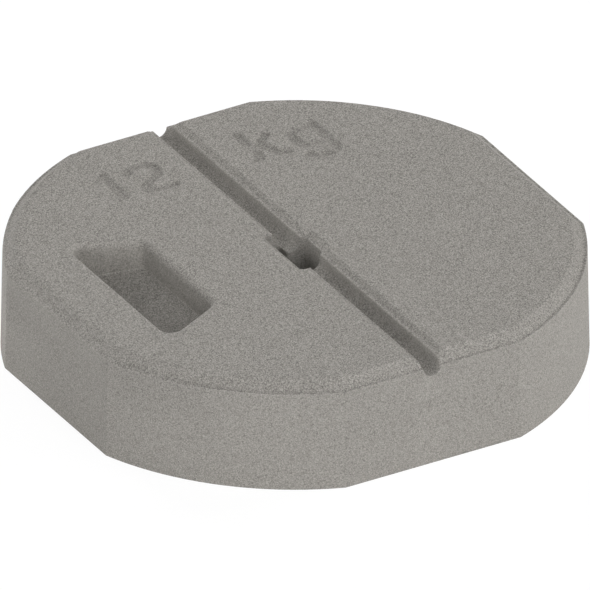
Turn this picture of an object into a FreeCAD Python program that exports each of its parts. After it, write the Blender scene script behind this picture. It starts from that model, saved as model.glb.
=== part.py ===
import FreeCAD, Part

import math
import os

from FreeCAD import Vector

# Driving dimensions, in millimetres and degrees.
# The disc stands on z = 0 with its middle on the Z axis, and its groove runs along Y.

# Disc: a round block with four flats and a stepped, sloping shoulder below the top face.
disc_diameter = 330.0
across_flats = 310.0
wall_height = 61.0
wall_draft = 1.0
shoulder_ledge = 1.9
shoulder_root_radius = 1.2
shoulder_inset = 7.7
shoulder_rise = 5.7

# Sunk mouth shared by the groove and the socket: a bevel down to a narrow ledge.
mouth_depth = 2.5
mouth_bevel_width = 3.45
mouth_ledge = 1.3

# Groove: a round-bottomed channel right across the top face.
groove_width = 12.1
groove_bottom_radius = 5.7
groove_depth = 11.2

# Socket: a T-shaped well, its bar along the groove and its stem across it.
bar_left_x = -12.1
bar_right_x = -1.6
bar_length = 43.2
bar_corner = 3.0
stem_right_x = 8.4
stem_length = 23.5
stem_corner = 4.0
inner_corner = 2.5
socket_middle_y = -6.1
socket_depth = 45.0

# Hand pocket: a four-sided recess with its long side towards the rim, where its floor is deepest.
pocket_outer_x = -114.0
pocket_inner_x = -74.8
pocket_outer_length = 116.7
pocket_middle_y = 1.1
pocket_end_slope = 26.6
pocket_inner_depth = 16.5
pocket_outer_depth = 24.0
pocket_draft = 1.0
pocket_corner = 6.0
pocket_lip = 4.5

total_height = wall_height + shoulder_rise
overrun = 5.0
closeness = 0.001


def outline_face(points, radii):
    return Part.Face(rounded_outline(points, radii))


def rounded_outline(points, radii):
    """Closed wire through points, each corner rounded by its own radius; 0 leaves it sharp."""
    count = len(points)
    starts = []
    ends = []
    edges = []
    for i, corner in enumerate(points):
        before = (points[i - 1] - corner).normalize()
        after = (points[(i + 1) % count] - corner).normalize()
        half_angle = before.getAngle(after) / 2.0
        reach = radii[i] / math.tan(half_angle)
        starts.append(corner + before * reach)
        ends.append(corner + after * reach)
    for i, corner in enumerate(points):
        following = starts[(i + 1) % count]
        if radii[i] > 0.0:
            chord_middle = (starts[i] + ends[i]) / 2.0
            to_corner = corner.distanceToPoint(chord_middle)
            to_arc = math.hypot(radii[i], starts[i].distanceToPoint(corner)) - radii[i]
            on_arc = corner + (chord_middle - corner) * (to_arc / to_corner)
            edges.append(Part.Arc(starts[i], on_arc, ends[i]).toShape())
        edges.append(Part.makeLine(ends[i], following))
    return Part.Wire(edges)


def edge_section(half_width):
    """Corners of the outer edge in section, from the foot to the top face, and their radii."""
    wall_top = half_width - wall_height * math.tan(math.radians(wall_draft))
    points = [
        Vector(half_width, 0, 0),
        Vector(wall_top, 0, wall_height),
        Vector(wall_top - shoulder_ledge, 0, wall_height),
        Vector(wall_top - shoulder_inset, 0, total_height),
    ]
    return points, [0.0, 0.0, shoulder_root_radius, 0.0]


def round_block():
    points, radii = edge_section(disc_diameter / 2.0)
    middle = [Vector(0, 0, total_height), Vector(0, 0, 0)]
    face = outline_face(points + middle, radii + [0.0, 0.0])
    return face.revolve(Vector(0, 0, 0), Vector(0, 0, 1), 360.0)


def flat_sided_bar():
    """Long bar along Y with the edge section on both of its sides."""
    points, radii = edge_section(across_flats / 2.0)
    mirrored = [Vector(-point.x, 0, point.z) for point in reversed(points)]
    face = outline_face(points + mirrored, radii + radii[::-1])
    start = -disc_diameter / 2.0 - overrun
    face.translate(Vector(0, start, 0))
    return face.extrude(Vector(0, -2.0 * start, 0))


def block():
    along_y = flat_sided_bar()
    along_x = flat_sided_bar()
    along_x.rotate(Vector(0, 0, 0), Vector(0, 0, 1), 90.0)
    return round_block().common(along_y).common(along_x)


def rectangle(x0, x1, y0, y1):
    return [Vector(x0, y0, 0), Vector(x1, y0, 0), Vector(x1, y1, 0), Vector(x0, y1, 0)]


def socket_plan():
    """T-shaped outline of the socket, drawn on z = 0, with sharp inner corners."""
    y0 = socket_middle_y - bar_length / 2.0
    bar = outline_face(rectangle(bar_left_x, bar_right_x, y0, y0 + bar_length), [bar_corner] * 4)
    s0 = socket_middle_y - stem_length / 2.0
    corners = rectangle(bar_left_x + bar_corner, stem_right_x, s0, s0 + stem_length)
    stem = outline_face(corners, [stem_corner] * 4)
    return bar.fuse(stem).removeSplitter().Faces[0]


def mouth_cutter():
    """Bevel and ledge that follow the groove and widen round the socket."""
    half = groove_width / 2.0
    length = disc_diameter + 2.0 * overrun
    strip = Part.makePlane(groove_width, length, Vector(-half, -length / 2.0, 0))
    plan = socket_plan().fuse(strip).removeSplitter().Faces[0]
    ledge = plan.makeOffset2D(mouth_ledge)
    ledge.translate(Vector(0, 0, total_height - mouth_depth))
    rim = plan.makeOffset2D(mouth_ledge + mouth_bevel_width)
    rim.translate(Vector(0, 0, total_height))
    return Part.makeLoft([ledge.Wires[0], rim.Wires[0]], True, True)


def groove_cutter():
    half = groove_width / 2.0
    start = -disc_diameter / 2.0 - overrun
    middle_z = total_height - groove_depth + groove_bottom_radius
    lip_z = total_height - mouth_depth
    left = Vector(-groove_bottom_radius, start, middle_z)
    right = Vector(groove_bottom_radius, start, middle_z)
    bottom = Vector(0, start, middle_z - groove_bottom_radius)
    top = [
        Vector(half, start, lip_z),
        Vector(half, start, total_height + overrun),
        Vector(-half, start, total_height + overrun),
        Vector(-half, start, lip_z),
    ]
    round_bottom = Part.Arc(left, bottom, right).toShape()
    sides = Part.makePolygon([right] + top + [left])
    face = Part.Face(Part.Wire([round_bottom] + sides.Edges))
    return face.extrude(Vector(0, -2.0 * start, 0))


def is_inner_corner(edge):
    """True for an upright edge where the stem of the socket meets its bar."""
    box = edge.BoundBox
    upright = box.XLength < closeness and box.YLength < closeness
    beside_stem = abs(abs(box.YMin - socket_middle_y) - stem_length / 2.0) < closeness
    return upright and beside_stem and abs(box.XMin - bar_right_x) < closeness


def socket_cutter():
    well = socket_plan().extrude(Vector(0, 0, socket_depth + overrun))
    well.translate(Vector(0, 0, total_height - socket_depth))
    return well.makeFillet(inner_corner, [edge for edge in well.Edges if is_inner_corner(edge)])


def pocket_outline(depth):
    """Outline of the pocket at a depth below the top face, before its lip is rounded."""
    inset = depth * math.tan(math.radians(pocket_draft))
    slope = math.tan(math.radians(pocket_end_slope))
    end_inset = inset / math.cos(math.radians(pocket_end_slope))
    x0 = pocket_outer_x + inset
    x1 = pocket_inner_x - inset
    half_outer = pocket_outer_length / 2.0 - end_inset - inset * slope
    half_inner = half_outer - (x1 - x0) * slope
    corners = [
        Vector(x0, pocket_middle_y - half_outer, 0),
        Vector(x1, pocket_middle_y - half_inner, 0),
        Vector(x1, pocket_middle_y + half_inner, 0),
        Vector(x0, pocket_middle_y + half_outer, 0),
    ]
    wire = rounded_outline(corners, [pocket_corner] * 4)
    wire.translate(Vector(0, 0, total_height - depth))
    return wire


def under_pocket_floor():
    """Block whose sloping top is the floor of the pocket."""
    fall = (pocket_outer_depth - pocket_inner_depth) / (pocket_inner_x - pocket_outer_x)
    outer_z = total_height - pocket_outer_depth - fall * overrun
    inner_z = total_height - pocket_inner_depth + fall * overrun
    x0 = pocket_outer_x - overrun
    x1 = pocket_inner_x + overrun
    y0 = pocket_middle_y - pocket_outer_length
    corners = [Vector(x0, y0, 0), Vector(x1, y0, 0), Vector(x1, y0, inner_z), Vector(x0, y0, outer_z)]
    face = outline_face(corners, [0.0] * 4)
    return face.extrude(Vector(0, 2.0 * pocket_outer_length, 0))


def pocket_cutter():
    bottom = pocket_outline(pocket_outer_depth + overrun)
    mouth = pocket_outline(-overrun)
    return Part.makeLoft([bottom, mouth], True, True).cut(under_pocket_floor())


def is_pocket_rim(edge):
    """True for an edge of the top face that runs round the pocket."""
    box = edge.BoundBox
    on_top = abs(box.ZMin - total_height) < closeness and abs(box.ZMax - total_height) < closeness
    return on_top and box.XMin > pocket_outer_x - overrun and box.XMax < pocket_inner_x + overrun


def base():
    body = block().cut(pocket_cutter())
    body = body.makeFillet(pocket_lip, [edge for edge in body.Edges if is_pocket_rim(edge)])
    return body.cut([mouth_cutter(), groove_cutter(), socket_cutter()])


parts = {"concrete_base": base()}
os.makedirs("parts", exist_ok=True)
for name, shape in parts.items():
    shape.exportStep("parts/" + name + ".step")
    print(name, shape.isValid(), len(shape.Solids), round(shape.Volume / 1000.0, 1), "cm3")
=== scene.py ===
import itertools
import math

import bmesh
import bpy
import numpy as np
from mathutils import Matrix, Vector


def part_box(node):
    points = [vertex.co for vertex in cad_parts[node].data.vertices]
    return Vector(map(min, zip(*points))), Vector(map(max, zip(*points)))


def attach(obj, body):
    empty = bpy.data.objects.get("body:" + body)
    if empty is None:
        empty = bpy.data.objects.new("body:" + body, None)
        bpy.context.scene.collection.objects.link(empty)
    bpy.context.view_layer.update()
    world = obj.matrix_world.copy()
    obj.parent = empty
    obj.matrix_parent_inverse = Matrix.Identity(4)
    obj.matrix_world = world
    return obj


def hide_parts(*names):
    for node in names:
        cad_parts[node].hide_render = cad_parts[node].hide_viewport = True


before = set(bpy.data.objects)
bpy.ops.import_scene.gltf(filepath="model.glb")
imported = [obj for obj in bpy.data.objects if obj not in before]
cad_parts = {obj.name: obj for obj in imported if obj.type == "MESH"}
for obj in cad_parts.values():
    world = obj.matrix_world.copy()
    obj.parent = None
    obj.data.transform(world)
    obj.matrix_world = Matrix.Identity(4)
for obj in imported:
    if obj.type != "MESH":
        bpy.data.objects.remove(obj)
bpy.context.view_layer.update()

bl_info = {
    "name": "Concrete Umbrella Base",
    "version": (1, 0, 0),
    "blender": (4, 5, 0),
    "location": "3D View > Sidebar > Umbrella Base",
    "description": "Cast concrete umbrella base with its weight cast into the top face",
    "category": "Object",
}

MM = 0.001
LOWEST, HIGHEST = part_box("concrete_base")
TOP = HIGHEST.z

# The picture's frame: parallel rays, and where the middle of the foot lies in it.
FRAME_PIXELS = 590
PIXELS_PER_METRE = 1785.906
FOOT_PIXEL = (295.048, 342.585)

# Plan of the outer edge, for telling the rim from the recesses.
RIM_RADIUS = 165.0 * MM
RIM_FLAT = HIGHEST.x

# Points nearer than this are one point of the casting's surface.
WELD_DISTANCE = 0.001 * MM


class CastingSettings(bpy.types.PropertyGroup):
    """Form of the casting's surface."""
    fineness: bpy.props.IntProperty(
        name="Fineness", description="Halvings of the casting's box that give the width of its cells",
        default=9, min=7, max=10)
    draft_fineness: bpy.props.IntProperty(
        name="Draft Fineness", description="Fineness while trying things out",
        default=8, min=7, max=10)
    triangles: bpy.props.IntProperty(
        name="Triangles", description="Most triangles that the casting may have",
        default=190000, min=20000, max=195000)
    edge_passes: bpy.props.IntProperty(
        name="Edge Rounding", description="How many times the edges are eased",
        default=1, min=0, max=20)
    wear_passes: bpy.props.IntProperty(
        name="Side Wear", description="How many times the shoulder is worn down on its dragged side",
        default=30, min=0, max=60)
    swell: bpy.props.FloatProperty(
        name="Swell", description="Depth of the broad unevenness left by the mould",
        default=0.10 * MM, min=0.0, max=1.0 * MM, precision=5, unit="LENGTH")
    crumble: bpy.props.FloatProperty(
        name="Crumble", description="Depth of the small unevenness of the sand",
        default=0.02 * MM, min=0.0, max=0.5 * MM, precision=5, unit="LENGTH")
    marking_depth: bpy.props.FloatProperty(
        name="Marking Depth", description="Depth of the weight cast into the top face",
        default=1.4 * MM, min=0.0, max=4.0 * MM, precision=5, unit="LENGTH")
    marking_width: bpy.props.FloatProperty(
        name="Marking Width", description="Width of the strokes of the weight at the top face",
        default=7.4 * MM, min=2.0 * MM, max=12.0 * MM, precision=5, unit="LENGTH")


class ConcreteSettings(bpy.types.PropertyGroup):
    """Look of the concrete."""
    light_sand: bpy.props.FloatVectorProperty(
        name="Light Sand", description="Colour of the lightest grains",
        default=(0.403, 0.386, 0.357), min=0.0, max=1.0, subtype="COLOR")
    dark_sand: bpy.props.FloatVectorProperty(
        name="Dark Sand", description="Colour of the darkest grains and pores",
        default=(0.153, 0.146, 0.135), min=0.0, max=1.0, subtype="COLOR")
    grain: bpy.props.FloatProperty(
        name="Grain", description="Distance from grain to grain",
        default=0.8 * MM, min=0.3 * MM, max=10.0 * MM, precision=5, unit="LENGTH")
    grit: bpy.props.FloatProperty(
        name="Grit", description="Width of the specks of finer grit",
        default=0.45 * MM, min=0.2 * MM, max=10.0 * MM, precision=5, unit="LENGTH")
    cloud: bpy.props.FloatProperty(
        name="Cloud", description="Width of the patches in the colour",
        default=45.0 * MM, min=5.0 * MM, max=200.0 * MM, precision=4, unit="LENGTH")
    wall_grain: bpy.props.FloatProperty(
        name="Wall Grain", description="Share of the grain that shows on the mould-smooth walls",
        default=0.6, min=0.0, max=1.0, subtype="FACTOR")
    # Painted light: how much paler upright faces are than the top.
    wall_painted_light: bpy.props.FloatProperty(
        name="Wall Pale", description="How much paler the mould-smooth walls are than the top",
        default=0.065, min=0.0, max=0.5, subtype="FACTOR")
    relief: bpy.props.FloatProperty(
        name="Relief", description="Height of the grains",
        default=0.05 * MM, min=0.0, max=1.0 * MM, precision=5, unit="LENGTH")
    # Painted highlight: width of the paler band along convex edges.
    edge_highlight_width: bpy.props.FloatProperty(
        name="Worn Edge", description="Width of the paler wear along the outer edges",
        default=0.8 * MM, min=0.0, max=5.0 * MM, precision=5, unit="LENGTH")
    # Painted shade: width of the darker band in the corners and the marking.
    crease_shade_width: bpy.props.FloatProperty(
        name="Dull Crease", description="Width of the darker dust in the corners and the marking",
        default=3.0 * MM, min=0.0, max=20.0 * MM, precision=5, unit="LENGTH")
    # Painted shade: how much darker the bottom of the marking is.
    marking_shade: bpy.props.FloatProperty(
        name="Marking Dust", description="How much darker the dust makes the bottom of the marking",
        default=0.10, min=0.0, max=1.0, subtype="FACTOR")
    # Painted light and painted shade: how much paler and how much darker their places are.
    painted_light_and_shade: bpy.props.FloatProperty(
        name="Surface Wear", description="How much paler rubbed places are, and how much darker dusty ones",
        default=0.10, min=0.0, max=1.0, subtype="FACTOR")
    roughness: bpy.props.FloatProperty(
        name="Roughness", description="Roughness of the dry surface",
        default=0.92, min=0.0, max=1.0, subtype="FACTOR")


class StageSettings(bpy.types.PropertyGroup):
    """Camera, floor and lamps."""
    azimuth: bpy.props.FloatProperty(
        name="Azimuth", description="Side that the camera looks from",
        default=math.radians(-30.0), subtype="ANGLE")
    elevation: bpy.props.FloatProperty(
        name="Elevation", description="Height of the camera above the horizon",
        default=math.radians(30.0), subtype="ANGLE")
    floor_size: bpy.props.FloatProperty(
        name="Floor Size", description="Width of the floor",
        default=8.0, min=1.0, unit="LENGTH")
    floor_colour: bpy.props.FloatVectorProperty(
        name="Floor Colour", description="Colour of the pale floor",
        default=(0.95, 0.95, 0.95), min=0.0, max=1.0, subtype="COLOR")
    shadow: bpy.props.FloatProperty(
        name="Shadow", description="How much of the object's shadow the floor shows",
        default=0.12, min=0.0, max=1.0, subtype="FACTOR")
    light: bpy.props.FloatProperty(
        name="Light", description="Level of all lamps",
        default=1.035, min=0.0, max=5.0)


def arc(middle, radii, start, end, steps):
    """Points along part of an ellipse, in millimetres and degrees."""
    turns = [math.radians(start + (end - start) * i / steps) for i in range(steps + 1)]
    return [(middle[0] + radii[0] * math.cos(t), middle[1] + radii[1] * math.sin(t)) for t in turns]


def marking_strokes():
    """Middle lines of the strokes of "12 kg", in millimetres, each with its share of the depth."""
    one = [(-57.6, 116.5), (-58.6, 89.5)]
    flag = [(-60.0, 113.0), (-67.5, 108.5)]
    two = [(-44.5, 111.5), (-42.5, 114.5)]
    two += arc((-38.5, 111.8), (4.0, 4.0), 130.0, 90.0, 4)
    two += arc((-33.0, 110.8), (5.0, 5.0), 90.0, 0.0, 6)
    two += arc((-34.0, 107.0), (6.0, 6.0), 0.0, -55.0, 5)
    two += [(-39.5, 97.5), (-42.4, 93.8), (-42.6, 88.7), (-26.3, 88.6)]
    stem_top = [(30.6, 117.5), (30.0, 107.0)]
    stem = [(30.0, 107.0), (30.0, 95.0)]
    stem_foot = [(30.3, 95.0), (28.8, 88.9), (26.8, 88.6)]
    arm = [(44.3, 111.0), (39.5, 106.5), (36.5, 100.0)]
    elbow = [(36.5, 100.0), (39.6, 96.0)]
    leg = [(39.6, 96.0), (41.2, 89.0), (46.5, 88.5)]
    bowl_side = [(58.0, 104.5), (56.2, 101.0), (56.2, 92.5), (58.3, 89.3)]
    bowl_top = [(58.0, 104.5), (62.0, 107.0), (70.0, 107.0)]
    bowl_foot = [(58.3, 89.3), (63.0, 88.0), (71.0, 88.5)]
    tail = [(73.2, 109.0)]
    tail += arc((66.0, 82.0), (7.0, 6.6), 0.0, -90.0, 8)
    tail += arc((61.5, 80.4), (5.5, 5.0), -90.0, -180.0, 8)
    full = [one, two, stem_top, stem_foot, arm, leg, bowl_side, tail]
    shallow = [(bowl_top, 0.8), (bowl_foot, 0.6), (elbow, 0.8), (stem, 0.5), (flag, 0.5)]
    return [(line, 1.0) for line in full] + shallow


def smooth_step(value):
    """0 up to 0, 1 from 1 on, and a smooth step between them."""
    value = np.clip(value, 0.0, 1.0)
    return value * value * (3.0 - 2.0 * value)


def rise(value, start, end):
    """Smooth step from 0 at start to 1 at end."""
    return smooth_step((value - start) / (end - start))


def near(value, middle, reach):
    return np.abs(value - middle) < reach


def distance_to_line(points, line):
    """Distance of each point from a line of straight runs, all in one plane."""
    nearest = np.full(len(points), np.inf)
    for start, end in zip(line, line[1:]):
        start, run = np.array(start), np.subtract(end, start)
        along = np.clip((points - start) @ run / (run @ run), 0.0, 1.0)
        gap = points - start - along[:, None] * run
        nearest = np.minimum(nearest, np.hypot(gap[:, 0], gap[:, 1]))
    return nearest


def lattice_noise(points, cell, seed):
    """Smooth random value from 0 to 1 at each point, with bumps about one cell across."""
    spot = (points - points.min(axis=0)) / cell
    corner = np.floor(spot).astype(int)
    lattice = np.random.default_rng(seed).random(corner.max(axis=0) + 2)
    blend = smooth_step(spot - corner)
    value = np.zeros(len(points))
    for step in itertools.product((0, 1), repeat=3):
        weight = np.prod(np.where(step, blend, 1.0 - blend), axis=1)
        value += weight * lattice[tuple((corner + step).T)]
    return value


def evaluated_mesh(piece):
    """Mesh of a piece with its modifiers applied."""
    return bpy.data.meshes.new_from_object(piece.evaluated_get(bpy.context.evaluated_depsgraph_get()))


def bake_modifiers(piece):
    """Puts a piece's evaluated mesh in place of its own and takes its modifiers off."""
    mesh = evaluated_mesh(piece)
    piece.modifiers.clear()
    piece.data = mesh


def closed_copy(node, name):
    """New object with the welded, closed surface of a CAD node."""
    source = bmesh.new()
    source.from_mesh(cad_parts[node].data)
    bmesh.ops.remove_doubles(source, verts=source.verts, dist=WELD_DISTANCE)
    mesh = bpy.data.meshes.new(name)
    source.to_mesh(mesh)
    source.free()
    piece = bpy.data.objects.new(name, mesh)
    bpy.context.scene.collection.objects.link(piece)
    return piece


def read_vectors(mesh, what):
    values = np.zeros(len(mesh.vertices) * 3)
    mesh.vertices.foreach_get(what, values)
    return values.reshape(-1, 3)


# Marking: how far below the top face it reaches, and the share of a stroke's half width that its flank takes.
MARKING_REACH = 3.0 * MM
FLANK_SHARE = 0.45


def marking_share(points, settings):
    """Share of the marking's depth at each point, from 0 off its strokes to 1 at their bottom."""
    half = settings.marking_width / 2.0
    on_top = np.flatnonzero(points[:, 2] > TOP - MARKING_REACH)
    flat = points[on_top, :2] / MM
    depth = np.zeros(len(points))
    for line, share in marking_strokes():
        off_middle = distance_to_line(flat, line) * MM / half
        depth[on_top] = np.maximum(depth[on_top], share * smooth_step((1.0 - off_middle) / FLANK_SHARE))
    return depth


# Shoulder worn down on its -X side: where it starts, down to what depth, and how far each takes to fade.
DRAGGED_X = 112.0 * MM
DRAGGED_FADE = 30.0 * MM
DRAGGED_DEPTH = 14.0 * MM
DRAGGED_DEPTH_FADE = 4.0 * MM
DRAGGED_LEVELS = 10


def wear_down_side(piece, settings):
    """Rounds off the ledge and edges of the shoulder on the side where the base is dragged and set down."""
    points = read_vectors(piece.data, "co")
    share = smooth_step((-points[:, 0] - DRAGGED_X) / DRAGGED_FADE)
    share *= smooth_step((points[:, 2] - TOP + DRAGGED_DEPTH) / DRAGGED_DEPTH_FADE)
    worn = piece.vertex_groups.new(name="worn")
    level = np.round(share * DRAGGED_LEVELS).astype(int)
    for i in range(1, DRAGGED_LEVELS + 1):
        worn.add(np.flatnonzero(level == i).tolist(), i / DRAGGED_LEVELS, "REPLACE")
    wear = piece.modifiers.new("worn side", "SMOOTH")
    wear.iterations = settings.wear_passes
    wear.vertex_group = "worn"
    bake_modifiers(piece)


# Unevenness: width of its bumps and seed of their heights, and the band at the foot that stays flat.
SWELL_WIDTH = 22.0 * MM
SWELL_SEED = 11
CRUMBLE_WIDTH = 1.7 * MM
CRUMBLE_SEED = 12
FLAT_FOOT = 0.2 * MM


def roughen(points, normals, settings):
    """Pushes the surface inwards by the unevenness of the mould and the sand."""
    swell = lattice_noise(points, SWELL_WIDTH, SWELL_SEED) * settings.swell
    crumble = lattice_noise(points, CRUMBLE_WIDTH, CRUMBLE_SEED) * settings.crumble
    depth = swell + crumble
    depth[points[:, 2] < LOWEST.z + FLAT_FOOT] = 0.0
    points -= normals * depth[:, None]


# Recesses: distance from the outer edge and depth below the top face, how far each takes to fade, height
# above the foot, and half width of the groove, which reaches the outer edge.
RECESS_FROM_RIM = 4.0 * MM
RECESS_RIM_FADE = 3.0 * MM
RECESS_DEPTH = 2.5 * MM
RECESS_DEPTH_FADE = 4.0 * MM
RECESS_OFF_FOOT = 5.0 * MM
MOUTH_HALF = 9.0 * MM


def recess_share(points):
    """Share, from 0 to 1, to which each point lies down in the groove, socket or pocket."""
    across = np.abs(points[:, :2])
    to_rim = np.minimum(RIM_FLAT - across.max(axis=1), RIM_RADIUS - np.hypot(across[:, 0], across[:, 1]))
    inside = smooth_step((to_rim - RECESS_FROM_RIM) / RECESS_RIM_FADE)
    inside = np.maximum(inside, across[:, 0] < MOUTH_HALF)
    depth = smooth_step((TOP - points[:, 2] - RECESS_DEPTH) / RECESS_DEPTH_FADE)
    off_the_foot = points[:, 2] > LOWEST.z + RECESS_OFF_FOOT
    return inside * depth * off_the_foot


# Places of painted light and painted shade are in millimetres: X and Y from the casting's middle, depth from
# the top face.
# A pair runs from where a place starts to where it is full, and a reach is on both sides of its middle.

# Ledge of the groove's mouth that gets painted light, which makes it paler.
LEDGE_DEPTH, LEDGE_DEPTH_REACH = 2.5, 0.8
LEDGE_X, LEDGE_X_REACH = 6.6, 0.9


def on_groove_ledge(x, down):
    return near(down, LEDGE_DEPTH, LEDGE_DEPTH_REACH) & near(x, LEDGE_X, LEDGE_X_REACH)


# Painted shade along the foot of the bevel, and in the -Y end of the groove, where it thins out near the rim.
BEVEL_DEPTH, BEVEL_DEPTH_REACH = 2.0, 0.7
BEVEL_X, BEVEL_X_REACH = -8.0, 0.8
BEVEL_SHARE = 1.2
MOUTH_REACH = 12.0
GROOVE_SHADE_Y = (-10.0, -90.0)
GROOVE_SHADE_DEPTH = (0.0, 1.0)
GROOVE_DEPTH = 11.5
THIN_SHADE_Y = (-110.0, -140.0)
THIN_SHADE_SHARE = 0.6


# Painted shade at the bevel's foot and in the groove's -Y end.
def groove_painted_shade(x, y, down):
    bevel_foot = near(down, BEVEL_DEPTH, BEVEL_DEPTH_REACH) & near(x, BEVEL_X, BEVEL_X_REACH)
    groove_end = rise(y, *GROOVE_SHADE_Y) * rise(down, *GROOVE_SHADE_DEPTH)
    groove_end *= (np.abs(x) < MOUTH_REACH) * (down < GROOVE_DEPTH)
    groove_end *= 1.0 - THIN_SHADE_SHARE * rise(y, *THIN_SHADE_Y)
    groove_end *= ~on_groove_ledge(x, down)
    return np.maximum(BEVEL_SHARE * bevel_foot, groove_end)


# Painted shade in the +Y end of the socket, and none in the groove beyond the socket's edge.
SOCKET_SHADE_Y = (1.0, 4.0)
SOCKET_SHADE_DEPTH = (3.0, 5.0)
SOCKET_REACH = 13.0
SOCKET_EDGE_Y = 9.0
SOCKET_MOUTH_END_Y = 17.0
GROOVE_WALL_X = 6.3
SOCKET_SHARE = 1.2


# Painted shade in the socket's +Y end.
def socket_painted_shade(x, y, down):
    shading = rise(y, *SOCKET_SHADE_Y) * (y < SOCKET_MOUTH_END_Y)
    shading *= rise(down, *SOCKET_SHADE_DEPTH) * (np.abs(x) < SOCKET_REACH)
    off_groove = (np.abs(x) > GROOVE_WALL_X) | (down > GROOVE_DEPTH) | (y < SOCKET_EDGE_Y)
    return SOCKET_SHARE * shading * off_groove


# Painted shade under the pocket's inner lip, twice as strong towards its -Y end.
POCKET_LIP_X = (-77.0, -75.0)
POCKET_LIP_END_X = -70.0
POCKET_MIDDLE_Y, POCKET_REACH = 1.0, 45.0
POCKET_LIP_DEPTH = (0.6, 2.1)
POCKET_WALL_DEPTH = 14.0
DARKER_SHADE_Y = (0.0, -30.0)


# Painted shade under the pocket's inner lip.
def pocket_painted_shade(x, y, down):
    shading = rise(x, *POCKET_LIP_X) * (x < POCKET_LIP_END_X) * near(y, POCKET_MIDDLE_Y, POCKET_REACH)
    shading *= rise(down, *POCKET_LIP_DEPTH) * (down < POCKET_WALL_DEPTH)
    return shading * (1.0 + rise(y, *DARKER_SHADE_Y))


# Outer edge: the radius where it starts, painted light on the shoulder's ledge on the worn side and on the
# left face at its foot, and painted shade on the left of the shoulder and on the front left of the wall.
RIM_BAND = (151.0, 155.0)
CREASE_DEPTH = 5.7
CREASE_BAND = (2.0, 1.0)
WORN_SIDE_X = (-118.0, -143.0)
LEDGE_LIGHT_SHARE = 0.8
LEFT_FACE_X = -150.0
LEFT_FOOT_Y = (0.0, 40.0)
LEFT_FOOT_DEPTH = (20.0, 50.0)
SHOULDER_SHADE_X = (-70.0, -100.0)
SHOULDER_SHADE_Y = (30.0, 60.0)
SHOULDER_DEPTH = 7.0
SHOULDER_SHARE = 0.9
FRONT_SHADE_X = (-100.0, -137.0)
FRONT_SHADE_Y = (-40.0, -70.0)
FRONT_SHADE_DEPTH = (3.0, 5.0)
FRONT_SHADE_FADE = (45.0, 5.0)
FRONT_SHARE = 1.2


# Painted light on the shoulder's ledge on the worn side and on the left face at its foot.
def rim_painted_light(x, y, down, at_rim):
    ledge = rise(x, *WORN_SIDE_X) * rise(np.abs(down - CREASE_DEPTH), *CREASE_BAND) * at_rim
    foot = rise(y, *LEFT_FOOT_Y) * rise(down, *LEFT_FOOT_DEPTH) * (x < LEFT_FACE_X)
    return LEDGE_LIGHT_SHARE * ledge + foot


# Painted shade on the left of the shoulder and on the front left of the wall.
def rim_painted_shade(x, y, down, at_rim):
    shoulder = rise(x, *SHOULDER_SHADE_X) * rise(y, *SHOULDER_SHADE_Y) * (down < SHOULDER_DEPTH)
    front = rise(x, *FRONT_SHADE_X) * rise(y, *FRONT_SHADE_Y)
    front *= rise(down, *FRONT_SHADE_DEPTH) * rise(down, *FRONT_SHADE_FADE)
    return (SHOULDER_SHARE * shoulder + FRONT_SHARE * front) * at_rim


def painted_light_and_shade(points):
    """More than 0 where painted light makes the surface paler, and less where painted shade makes it darker.
    """
    x, y, down = points[:, 0] / MM, points[:, 1] / MM, (TOP - points[:, 2]) / MM
    at_rim = rise(np.hypot(x, y), *RIM_BAND)
    painted_light = on_groove_ledge(x, down) + rim_painted_light(x, y, down, at_rim)
    painted_shade = groove_painted_shade(x, y, down) + socket_painted_shade(x, y, down) + pocket_painted_shade(x, y, down)
    return painted_light - painted_shade - rim_painted_shade(x, y, down, at_rim)


def add_attribute(mesh, name, values):
    attribute = mesh.attributes.new(name, "FLOAT", "POINT")
    attribute.data.foreach_set("value", values.astype(np.float32))


# Share of the remesh modifier's grid that the casting fills, and the Z of a normal that looks down.
REMESH_SCALE = 0.95
LOOKS_DOWN = -0.9


def cast_surface(settings):
    """The casting as one closed surface, divided finely enough for its edges and its marking."""
    piece = closed_copy("concrete_base", "concrete_casting")
    remesh = piece.modifiers.new("cells", "REMESH")
    remesh.mode = "SHARP"
    remesh.octree_depth = settings.fineness
    remesh.scale = REMESH_SCALE
    remesh.use_remove_disconnected = False
    ease = piece.modifiers.new("eased edges", "SMOOTH")
    ease.iterations = settings.edge_passes
    bake_modifiers(piece)
    wear_down_side(piece, settings)
    points = read_vectors(piece.data, "co")
    normals = read_vectors(piece.data, "normal")
    roughen(points, normals, settings)
    points[:, 2] -= marking_share(points, settings) * settings.marking_depth
    np.clip(points, LOWEST, HIGHEST, out=points)
    piece.data.vertices.foreach_set("co", points.ravel())
    piece.data.update()
    thin = piece.modifiers.new("fewer faces", "DECIMATE")
    triangles = 2.0 * len(piece.data.polygons)
    thin.ratio = min(1.0, settings.triangles / triangles)
    thin.use_collapse_triangulate = True
    bake_modifiers(piece)
    rounded = [face.normal.z > LOOKS_DOWN for face in piece.data.polygons]
    piece.data.polygons.foreach_set("use_smooth", rounded)
    points = read_vectors(piece.data, "co")
    add_attribute(piece.data, "recess", recess_share(points))
    add_attribute(piece.data, "marking", marking_share(points, settings))
    # Painted light and painted shade, kept as a point attribute.
    add_attribute(piece.data, "painted_light_and_shade", painted_light_and_shade(points))
    return piece


# Places of a colour Mix node's sockets, of which several have the same name.
MIX_SHARE = 0
MIX_FIRST = 6
MIX_SECOND = 7
MIX_RESULT = 2


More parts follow.
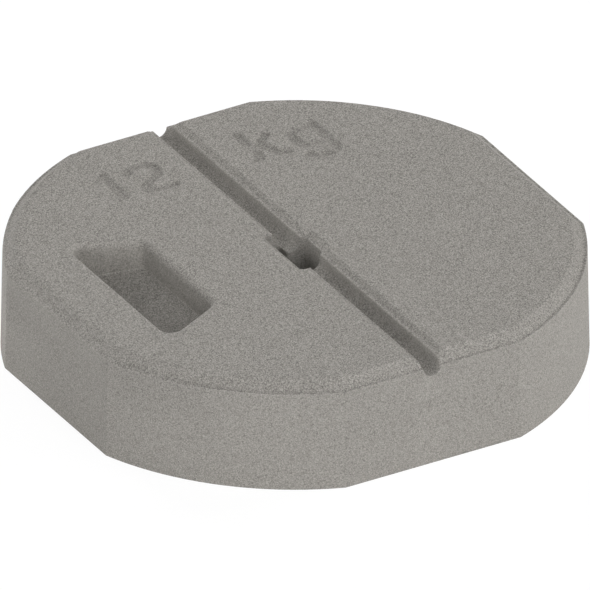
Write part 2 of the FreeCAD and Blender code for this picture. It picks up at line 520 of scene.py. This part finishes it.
class Shader:
    """Adds nodes to the node tree of a material or a world and joins them."""

    def __init__(self, tree):
        self.tree = tree

    def add(self, kind, settings=(), **inputs):
        """New node with its settings and inputs, whose names have _ for a space."""
        node = self.tree.nodes.new(kind)
        for key, value in dict(settings).items():
            setattr(node, key, value)
        for key, value in inputs.items():
            self.feed(node.inputs[key.replace("_", " ")], value)
        return node

    def feed(self, socket, value):
        """Joins an output to a socket, or sets the socket to a constant."""
        if isinstance(value, bpy.types.NodeSocket):
            self.tree.links.new(value, socket)
        else:
            socket.default_value = value

    def math(self, operation, first, second=0.0):
        node = self.tree.nodes.new("ShaderNodeMath")
        node.operation = operation
        self.feed(node.inputs[0], first)
        self.feed(node.inputs[1], second)
        return node.outputs[0]

    def noise(self, place, width, detail):
        """Noise from 0 to 1, with patches of a given width in metres."""
        node = self.add("ShaderNodeTexNoise", Vector=place, Scale=1.0 / width, Detail=detail)
        return node.outputs["Fac"]

    def spread(self, value, low, high, to_low, to_high):
        """Value from low to high mapped to the span from to_low to to_high, and kept in it."""
        node = self.add("ShaderNodeMapRange", Value=value)
        node.inputs["From Min"].default_value = low
        node.inputs["From Max"].default_value = high
        self.feed(node.inputs["To Min"], to_low)
        self.feed(node.inputs["To Max"], to_high)
        return node.outputs["Result"]

    def mix_colour(self, share, first, second):
        node = self.tree.nodes.new("ShaderNodeMix")
        node.data_type = "RGBA"
        self.feed(node.inputs[MIX_SHARE], share)
        self.feed(node.inputs[MIX_FIRST], first)
        self.feed(node.inputs[MIX_SECOND], second)
        return node.outputs[MIX_RESULT]

    def attribute(self, name):
        return self.add("ShaderNodeAttribute", {"attribute_name": name}).outputs["Fac"]


def empty_material(name):
    material = bpy.data.materials.new(name)
    material.use_nodes = True
    material.node_tree.nodes.clear()
    return material


# Tones of the concrete, where 0 is dark sand and 1 is light sand. A pair is a span of tones.
PLAIN_TONE = 0.5
CROWN_TONES = (-0.37, 0.37)
GRIT_TONES = (-0.50, 0.50)
CLOUD_TONES = (-0.015, 0.015)
# Blotch tones lean pale: painted light that lifts the recesses, besides random mottling.
BLOTCH_AND_LIGHT_TONES = (-0.03, 0.07)
# Painted highlight along convex edges.
EDGE_HIGHLIGHT_TONE = 0.25
# Painted shade in the creases.
CREASE_SHADE_TONE = -0.30

# Spans of a node's values that the tones are spread over.
WHOLE = (0.0, 1.0)
WALL_TO_TOP = (0.3, 1.0)
GRAIN_MIDDLE_TO_EDGE = (0.15, 0.85)
CLOUD_SPAN = (0.3, 0.7)
BLOTCH_SPAN = (0.35, 0.65)
HALF_OPEN_TO_OPEN = (0.5, 1.0)
CROWN_SPAN = (0.2, 0.8)

# Other values of the concrete's nodes.
CLOUD_DETAIL = 2.0
BLOTCH_WIDTH = 7.0 * MM
BLOTCH_DETAIL = 1.0
NEARBY_SAMPLES = 4
ROUGHNESS_REACH = 0.06
DRY_SPECULAR = 0.1


def grain_crown(shader, place, settings):
    """Height of the sand grains, from 0 between them to 1 at their middle."""
    grains = shader.add("ShaderNodeTexVoronoi", Vector=place, Scale=1.0 / settings.grain)
    return shader.spread(grains.outputs["Distance"], *GRAIN_MIDDLE_TO_EDGE, 1.0, 0.0)


def sand_tone(shader, place, crown, flatness, settings):
    """Tone of the grains and the finer grit, weaker on the walls than on the top, and painted light that
    makes the walls paler than the top.
    """
    grit = shader.add("ShaderNodeTexVoronoi", Vector=place, Scale=1.0 / settings.grit)
    own_tone = shader.add("ShaderNodeSeparateColor", Color=grit.outputs["Color"]).outputs["Red"]
    grain_tone = shader.spread(crown, *WHOLE, *CROWN_TONES)
    grit_tone = shader.spread(own_tone, *WHOLE, *GRIT_TONES)
    contrast = shader.spread(flatness, *WALL_TO_TOP, settings.wall_grain, 1.0)
    # Painted light: upright faces paler than the top.
    wall_painted_light_tone = shader.spread(flatness, *WALL_TO_TOP, settings.wall_painted_light, 0.0)
    sand = shader.math("MULTIPLY", shader.math("ADD", grain_tone, grit_tone), contrast)
    return shader.math("ADD", sand, wall_painted_light_tone)


def patch_tone(shader, place, recess, settings):
    """Tone of the soft patches everywhere and of the smaller blotches down in the recesses, which lean pale
    as painted light that lifts the recesses.
    """
    cloud = shader.noise(place, settings.cloud, CLOUD_DETAIL)
    cloud_tone = shader.spread(cloud, *CLOUD_SPAN, *CLOUD_TONES)
    blotch = shader.noise(place, BLOTCH_WIDTH, BLOTCH_DETAIL)
    # Blotches lean pale: painted light that lifts the recesses.
    blotch_tone = shader.spread(blotch, *BLOTCH_SPAN, *BLOTCH_AND_LIGHT_TONES)
    return shader.math("ADD", cloud_tone, shader.math("MULTIPLY", blotch_tone, recess))


def edge_tone(shader, recess, settings):
    """Tone of the painted highlight along the convex edges and of the painted shade in the creases outside
    the recesses.
    """
    around = {"samples": NEARBY_SAMPLES, "only_local": True}
    inside = {"samples": NEARBY_SAMPLES, "only_local": True, "inside": True}
    # Painted highlight along convex edges, found by occlusion inside the surface.
    worn = shader.add("ShaderNodeAmbientOcclusion", inside, Distance=settings.edge_highlight_width)
    # Painted shade in the creases and the marking, found by occlusion outside the surface.
    crease_occlusion = shader.add("ShaderNodeAmbientOcclusion", around, Distance=settings.crease_shade_width)
    edge_highlight_tone = shader.spread(worn.outputs["AO"], *HALF_OPEN_TO_OPEN, EDGE_HIGHLIGHT_TONE, 0.0)
    crease_shade_tone = shader.spread(crease_occlusion.outputs["AO"], *HALF_OPEN_TO_OPEN, CREASE_SHADE_TONE, 0.0)
    open_air = shader.math("SUBTRACT", 1.0, recess)
    return shader.math("ADD", edge_highlight_tone, shader.math("MULTIPLY", open_air, crease_shade_tone))


def painted_shade_and_light_tone(shader, settings):
    """Tone of the painted shade in the marking and of the places of painted light and painted shade."""
    # Painted shade in the marking.
    marking = shader.math("MULTIPLY", shader.attribute("marking"), settings.marking_shade)
    # Painted light and painted shade of the surface.
    wear = shader.math("MULTIPLY", shader.attribute("painted_light_and_shade"), settings.painted_light_and_shade)
    return shader.math("SUBTRACT", wear, marking)


def cast_concrete(settings):
    """Dry cast concrete: sand grains, finer grit, soft patches, painted highlights on edges, painted shade in
    creases, recesses and the marking, and painted light on walls, ledges and recesses.
    """
    material = empty_material("cast_concrete")
    shader = Shader(material.node_tree)
    place = shader.add("ShaderNodeTexCoord").outputs["Object"]
    normal = shader.add("ShaderNodeNewGeometry").outputs["Normal"]
    upright = shader.add("ShaderNodeSeparateXYZ", Vector=normal).outputs["Z"]
    flatness = shader.math("ABSOLUTE", upright)
    recess = shader.attribute("recess")
    crown = grain_crown(shader, place, settings)
    tone = shader.math("ADD", PLAIN_TONE, sand_tone(shader, place, crown, flatness, settings))
    tone = shader.math("ADD", tone, patch_tone(shader, place, recess, settings))
    tone = shader.math("ADD", tone, edge_tone(shader, recess, settings))
    tone = shader.math("ADD", tone, painted_shade_and_light_tone(shader, settings))
    colour = shader.mix_colour(tone, (*settings.dark_sand, 1.0), (*settings.light_sand, 1.0))
    relief = shader.add("ShaderNodeBump", Height=crown, Strength=1.0, Distance=settings.relief)
    smoothest = settings.roughness - ROUGHNESS_REACH
    roughest = settings.roughness + ROUGHNESS_REACH
    roughness = shader.spread(crown, *CROWN_SPAN, smoothest, roughest)
    surface = shader.add("ShaderNodeBsdfPrincipled", Base_Color=colour, Normal=relief.outputs["Normal"])
    surface.inputs["Specular IOR Level"].default_value = DRY_SPECULAR
    shader.feed(surface.inputs["Roughness"], roughness)
    shader.add("ShaderNodeOutputMaterial", Surface=surface.outputs["BSDF"])
    return material


class OBJECT_OT_cast_umbrella_base(bpy.types.Operator):
    """Builds the casting with its surface, its marking and its concrete"""
    bl_idname = "object.cast_umbrella_base"
    bl_label = "Cast Umbrella Base"

    def execute(self, context):
        scene = context.scene
        piece = cast_surface(scene.umbrella_casting)
        piece.data.materials.clear()
        piece.data.materials.append(cast_concrete(scene.umbrella_concrete))
        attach(piece, "root")
        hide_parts("concrete_base")
        return {"FINISHED"}


# Power of a lamp of strength 1.
LAMP_POWER = 2.0

# Lamps round the object: side they shine from, height and width of their disc, all in degrees, and strength.
LAMPS = [
    ("low_right", 0.0, 25.0, 30.0, 0.673),
    ("low_back", 90.0, 25.0, 30.0, 0.333),
    ("low_left", 180.0, 25.0, 30.0, 0.430),
    ("low_front_left", 225.0, 25.0, 30.0, 0.120),
    ("low_front", 270.0, 25.0, 30.0, 0.322),
    ("low_front_right", 315.0, 25.0, 30.0, 0.226),
    ("high_front_left", 240.0, 50.0, 50.0, 0.269),
    ("high_front_right", 300.0, 50.0, 50.0, 0.369),
    ("level_back", 90.0, 8.0, 20.0, 0.897),
    ("level_front_left", 225.0, 8.0, 20.0, 0.120),
    ("under_floor", 240.0, -60.0, 50.0, 1.300),
]


def direction(azimuth, elevation):
    """Unit vector towards a place on the sky."""
    level = math.cos(elevation)
    return Vector((math.cos(azimuth) * level, math.sin(azimuth) * level, math.sin(elevation)))


def add_lamps(level):
    for name, azimuth, elevation, width, strength in LAMPS:
        lamp = bpy.data.lights.new(name, "SUN")
        lamp.energy = LAMP_POWER * strength * level
        lamp.angle = math.radians(width)
        holder = bpy.data.objects.new(name, lamp)
        towards = direction(math.radians(azimuth), math.radians(elevation))
        holder.rotation_euler = towards.to_track_quat("Z", "Y").to_euler()
        bpy.context.scene.collection.objects.link(holder)


def seen_or_glossy(shader):
    """1 for rays from the camera or a reflection, which see the white studio, and 0 for light."""
    path = shader.add("ShaderNodeLightPath")
    seen = shader.math("MAXIMUM", path.outputs["Is Camera Ray"], path.outputs["Is Glossy Ray"])
    return shader.math("MAXIMUM", seen, path.outputs["Is Transmission Ray"])


def add_world():
    world = bpy.data.worlds.new("studio")
    world.use_nodes = True
    tree = world.node_tree
    background = tree.nodes["Background"]
    background.inputs["Color"].default_value = (1.0, 1.0, 1.0, 1.0)
    tree.links.new(seen_or_glossy(Shader(tree)), background.inputs["Strength"])
    bpy.context.scene.world = world


# Light on the open floor, where 1 shows a white face as white.
FLOOR_LIGHT = 0.8


def pale_floor(settings):
    """Floor that is white to the camera, keeps the object's shadow, and is see-through from below."""
    material = empty_material("pale_floor")
    shader = Shader(material.node_tree)
    lit = shader.add("ShaderNodeBsdfDiffuse", Color=(*settings.floor_colour, 1.0)).outputs["BSDF"]
    shade = shader.add("ShaderNodeBsdfDiffuse", Color=(settings.shadow,) * 3 + (1.0,)).outputs["BSDF"]
    white = shader.add("ShaderNodeEmission", Strength=1.0 - settings.shadow * FLOOR_LIGHT).outputs["Emission"]
    seen = shader.tree.nodes.new("ShaderNodeAddShader")
    shader.feed(seen.inputs[0], shade)
    shader.feed(seen.inputs[1], white)
    above = shader.tree.nodes.new("ShaderNodeMixShader")
    shader.feed(above.inputs[0], seen_or_glossy(shader))
    shader.feed(above.inputs[1], lit)
    shader.feed(above.inputs[2], seen.outputs[0])
    clear = shader.add("ShaderNodeBsdfTransparent").outputs["BSDF"]
    both = shader.tree.nodes.new("ShaderNodeMixShader")
    shader.feed(both.inputs[0], shader.add("ShaderNodeNewGeometry").outputs["Backfacing"])
    shader.feed(both.inputs[1], above.outputs[0])
    shader.feed(both.inputs[2], clear)
    shader.add("ShaderNodeOutputMaterial", Surface=both.outputs[0])
    return material


# Height of the floor over the foot.
FLOOR_RISE = 0.05 * MM


def add_floor(settings):
    """Floor a hair above the foot, so that the lamp under it lights the underside and nothing else."""
    half = settings.floor_size / 2.0
    level = LOWEST.z + FLOOR_RISE
    mesh = bpy.data.meshes.new("floor")
    corners = [(-half, -half, level), (half, -half, level), (half, half, level), (-half, half, level)]
    mesh.from_pydata(corners, [], [(0, 1, 2, 3)])
    mesh.materials.append(pale_floor(settings))
    floor = bpy.data.objects.new("floor", mesh)
    bpy.context.scene.collection.objects.link(floor)


# Distance of the camera from the object, which parallel rays don't show.
CAMERA_DISTANCE = 1.5


def add_camera(settings):
    """Camera with parallel rays, aimed so that the foot's middle falls on its place in the picture."""
    towards = direction(settings.azimuth - math.pi / 2.0, settings.elevation)
    right = Vector((math.cos(settings.azimuth), math.sin(settings.azimuth), 0.0))
    up = towards.cross(right)
    middle = FRAME_PIXELS / 2.0
    to_right = (middle - FOOT_PIXEL[0]) / PIXELS_PER_METRE
    upwards = (FOOT_PIXEL[1] - middle) / PIXELS_PER_METRE
    aim = right * to_right + up * upwards
    data = bpy.data.cameras.new("camera")
    data.type = "ORTHO"
    data.ortho_scale = FRAME_PIXELS / PIXELS_PER_METRE
    camera = bpy.data.objects.new("camera", data)
    place = Matrix((right, up, towards)).transposed().to_4x4()
    place.translation = aim + towards * CAMERA_DISTANCE
    camera.matrix_world = place
    bpy.context.scene.collection.objects.link(camera)
    bpy.context.scene.camera = camera


class SCENE_OT_set_umbrella_stage(bpy.types.Operator):
    """Sets up the camera, the pale floor, the white backdrop and the lamps"""
    bl_idname = "scene.set_umbrella_stage"
    bl_label = "Set Stage"

    def execute(self, context):
        settings = context.scene.umbrella_stage
        add_floor(settings)
        add_world()
        add_lamps(settings.light)
        add_camera(settings)
        context.scene.view_settings.view_transform = "Standard"
        return {"FINISHED"}


class VIEW3D_PT_umbrella_base(bpy.types.Panel):
    """Sizes, colours and steps of the umbrella base"""
    bl_idname = "VIEW3D_PT_umbrella_base"
    bl_label = "Umbrella Base"
    bl_space_type = "VIEW_3D"
    bl_region_type = "UI"
    bl_category = "Umbrella Base"

    def draw(self, context):
        layout = self.layout
        scene = context.scene
        for group in (scene.umbrella_casting, scene.umbrella_concrete, scene.umbrella_stage):
            box = layout.box()
            for name in group.__annotations__:
                box.prop(group, name)
        layout.operator(OBJECT_OT_cast_umbrella_base.bl_idname)
        layout.operator(SCENE_OT_set_umbrella_stage.bl_idname)


CLASSES = (
    CastingSettings,
    ConcreteSettings,
    StageSettings,
    OBJECT_OT_cast_umbrella_base,
    SCENE_OT_set_umbrella_stage,
    VIEW3D_PT_umbrella_base,
)


def register():
    for cls in CLASSES:
        bpy.utils.register_class(cls)
    bpy.types.Scene.umbrella_casting = bpy.props.PointerProperty(type=CastingSettings)
    bpy.types.Scene.umbrella_concrete = bpy.props.PointerProperty(type=ConcreteSettings)
    bpy.types.Scene.umbrella_stage = bpy.props.PointerProperty(type=StageSettings)


def unregister():
    del bpy.types.Scene.umbrella_stage
    del bpy.types.Scene.umbrella_concrete
    del bpy.types.Scene.umbrella_casting
    for cls in reversed(CLASSES):
        bpy.utils.unregister_class(cls)


def main():
    register()
    bpy.ops.object.cast_umbrella_base()
    bpy.ops.scene.set_umbrella_stage()


if __name__ == "__main__":
    main()
